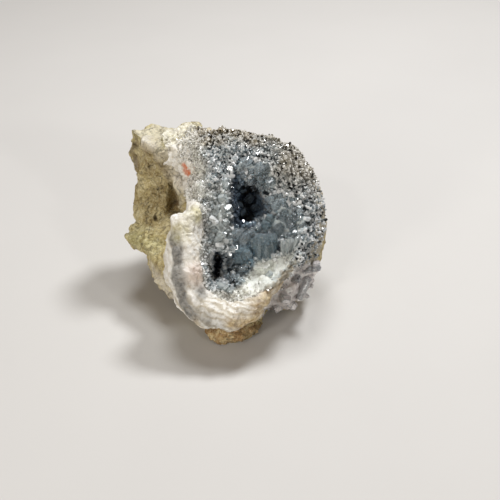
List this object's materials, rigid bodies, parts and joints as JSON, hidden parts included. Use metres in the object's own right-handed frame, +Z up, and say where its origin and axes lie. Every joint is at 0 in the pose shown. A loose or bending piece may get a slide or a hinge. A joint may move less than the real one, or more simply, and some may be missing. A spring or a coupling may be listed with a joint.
{
  "type": "celestite geode",
  "caption": "Broken celestite geode that rests on a small flat foot, its open hollow lined with grey-blue crystals inside a pale banded rind and olive-tan host rock.",
  "frame": {"origin": "centre of the bounding box in plan, on the surface that the foot rests on", "axes": "+Z up, and the hollow faces -Y and upwards, about 35 degrees above the horizon as it is displayed"},
  "size_m": [0.071, 0.0726, 0.0586],
  "materials": {
    "host_rock": "matte",
    "rind": "matte",
    "celestite": "gloss",
    "flank_crystals": "satin"
  },
  "bodies": {
    "root": {"host_rock": "host_rock", "rind": "rind", "crystal_crust": "celestite", "flank_crystals": "flank_crystals"}
  },
  "joints": []
}
